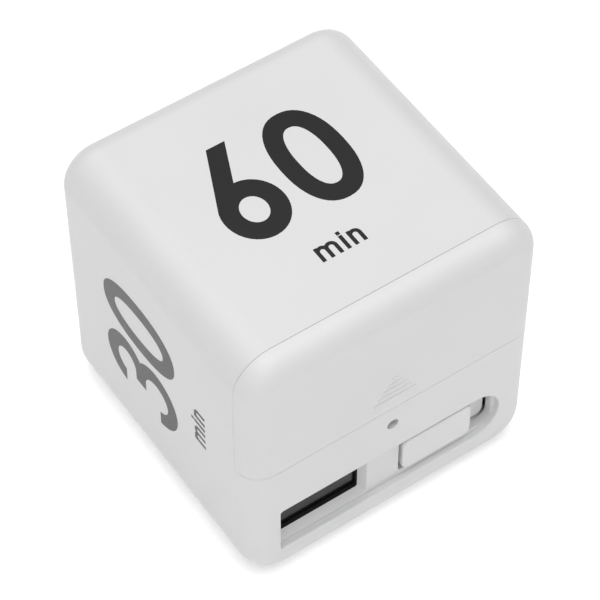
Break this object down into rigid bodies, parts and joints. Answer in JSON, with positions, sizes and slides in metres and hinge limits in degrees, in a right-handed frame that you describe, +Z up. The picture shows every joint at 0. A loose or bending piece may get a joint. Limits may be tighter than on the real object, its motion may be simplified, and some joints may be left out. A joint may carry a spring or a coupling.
{
  "type": "kitchen timer",
  "caption": "Cube countdown timer with a printed number on each side face, a small display window, a slide switch and a battery door that slides up.",
  "frame": {"origin": "middle of the base face, on the surface that the timer stands on", "axes": "+Z up through the face that shows 60; the display, switch and battery door face -Y; +X is to the right seen from the front"},
  "size_m": [0.0636, 0.0637, 0.0635],
  "materials": {
    "white_shell": "satin",
    "tray_plastic": "satin",
    "knob_plastic": "satin",
    "black_foam": "matte",
    "window_clear": "gloss",
    "display_glass": "gloss",
    "frame_plastic": "satin",
    "strip_rubber": "matte",
    "switch_metal": "satin",
    "switch_base": "matte",
    "black_plastic": "satin",
    "contact_copper": "satin",
    "disc_brass": "satin",
    "board_green": "satin",
    "black_resin": "gloss",
    "chip_ceramic": "matte",
    "sensor_metal": "satin",
    "ball_steel": "polished",
    "crystal_metal": "satin",
    "capacitor_sleeve": "satin",
    "cell_wrap": "satin",
    "spring_steel": "satin",
    "red_insulation": "satin",
    "black_insulation": "satin",
    "screw_steel": "satin"
  },
  "bodies": {
    "case": {"housing": "white_shell", "rear_cover": "white_shell", "display_gasket": "black_foam", "display_lens": "window_clear", "display_frame": "frame_plastic", "display_glass": "display_glass", "display_strips": "strip_rubber", "switch_base": "switch_base", "switch_case": "switch_metal", "sounder_case": "black_plastic", "sounder_disc": "disc_brass", "sounder_base": "black_plastic", "main_board": "board_green", "controller_blob": "black_resin", "timing_crystal": "crystal_metal", "supply_capacitor": "capacitor_sleeve", "chip_components": "chip_ceramic", "tilt_sensor_left": "sensor_metal", "tilt_sensor_right": "sensor_metal", "battery_tray": "tray_plastic", "lower_cell": "cell_wrap", "upper_cell": "cell_wrap", "positive_plate": "spring_steel", "negative_plate": "spring_steel", "bridge_plate": "spring_steel", "upper_spring": "spring_steel", "lower_spring": "spring_steel", "red_lead": "red_insulation", "black_lead": "black_insulation", "board_screws": "screw_steel", "tray_screws": "screw_steel", "cover_screws": "screw_steel"},
    "battery_door": {"battery_door": "white_shell"},
    "slide_switch": {"switch_knob": "knob_plastic", "switch_lever": "black_plastic", "switch_wiper": "contact_copper"},
    "left_ball": {"tilt_ball_left": "ball_steel"},
    "right_ball": {"tilt_ball_right": "ball_steel"}
  },
  "joints": [
    {"name": "battery_door_slide", "type": "slide", "parent": "case", "child": "battery_door", "axis": [0, 0, 1], "range_m": [0, 0.032]},
    {"name": "switch_slide", "type": "slide", "parent": "case", "child": "slide_switch", "axis": [1, 0, 0], "range_m": [0, 0.004]},
    {"name": "left_ball_roll", "type": "slide", "parent": "case", "child": "left_ball", "axis": [-0.7071, 0, 0.7071], "range_m": [0, 0.0048]},
    {"name": "right_ball_roll", "type": "slide", "parent": "case", "child": "right_ball", "axis": [0.7071, 0, 0.7071], "range_m": [0, 0.0048]}
  ]
}
